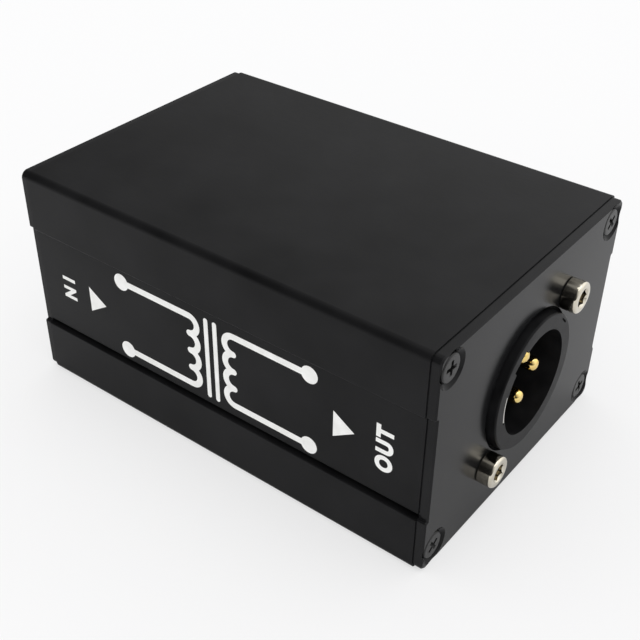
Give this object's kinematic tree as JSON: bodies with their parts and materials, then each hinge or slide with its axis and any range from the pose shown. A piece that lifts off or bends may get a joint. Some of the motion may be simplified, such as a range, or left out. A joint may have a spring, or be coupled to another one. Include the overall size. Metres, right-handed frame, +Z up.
{
  "type": "ground loop isolator",
  "caption": "Small rectangular metal box with a round three pole audio socket at each end and an audio transformer inside, which breaks a ground loop between two devices.",
  "frame": {"origin": "middle of the underside of the case", "axes": "+X along the case towards the output end, +Z up, +Y across"},
  "size_m": [0.082, 0.0514, 0.038],
  "materials": {
    "case_black": "black anodised extrusion, semi-gloss",
    "panel_black": "black anodised plate, semi-gloss",
    "screw_black": "black oxide steel",
    "screw_nickel": "nickel plated steel",
    "socket_black": "black plated zinc casting, satin",
    "insert_black": "moulded thermoplastic",
    "spring_tin": "tin plated spring strip",
    "contact_gold": "gold plated",
    "latch_black": "moulded, satin",
    "spring_steel": "bright spring steel",
    "board_green": "glass and resin laminate",
    "core_steel": "stacked laminations",
    "bobbin_nylon": "moulded nylon",
    "pin_tinned": "tinned",
    "winding_copper": "enamelled copper wire",
    "tape_yellow": "polyester tape",
    "frame_steel": "tinned strip",
    "wire_red": "insulated hook-up wire",
    "wire_black": "insulated hook-up wire",
    "wire_white": "insulated hook-up wire"
  },
  "bodies": {
    "case": {"upper_shell": "case_black", "lower_shell": "case_black", "output_end_panel": "panel_black", "input_end_panel": "panel_black", "output_panel_screws": "screw_black", "input_panel_screws": "screw_black", "output_socket_screws": "screw_nickel", "input_socket_screws": "screw_nickel", "output_socket_nuts": "screw_nickel", "input_socket_nuts": "screw_nickel", "output_socket_shell": "socket_black", "output_socket_insert": "insert_black", "output_ground_spring": "spring_tin", "output_pin_1": "contact_gold", "output_pin_2": "contact_gold", "output_pin_3": "contact_gold", "input_socket_housing": "socket_black", "input_socket_insert": "insert_black", "input_contact_1": "contact_gold", "input_contact_2": "contact_gold", "input_contact_3": "contact_gold", "latch_pin": "spring_steel", "latch_spring": "spring_steel", "circuit_board": "board_green", "transformer_e_core": "core_steel", "transformer_i_core": "core_steel", "transformer_bobbin": "bobbin_nylon", "transformer_pins": "pin_tinned", "primary_winding": "winding_copper", "secondary_winding": "winding_copper", "winding_tape": "tape_yellow", "transformer_frame": "frame_steel", "output_wire_1": "wire_red", "output_wire_2": "wire_black", "output_wire_3": "wire_white", "input_wire_1": "wire_red", "input_wire_2": "wire_black", "input_wire_3": "wire_white"},
    "latch": {"latch_lever": "latch_black"}
  },
  "joints": [
    {"name": "latch_pivot", "type": "hinge", "parent": "case", "child": "latch", "pos_m": [-0.0347, 0.0129, 0.019], "axis": [0, 0, -1], "range_deg": [0, 15], "stiffness_Nm_per_rad": 0.02, "springref_deg": -8.59, "deforming": ["latch_spring"]}
  ]
}
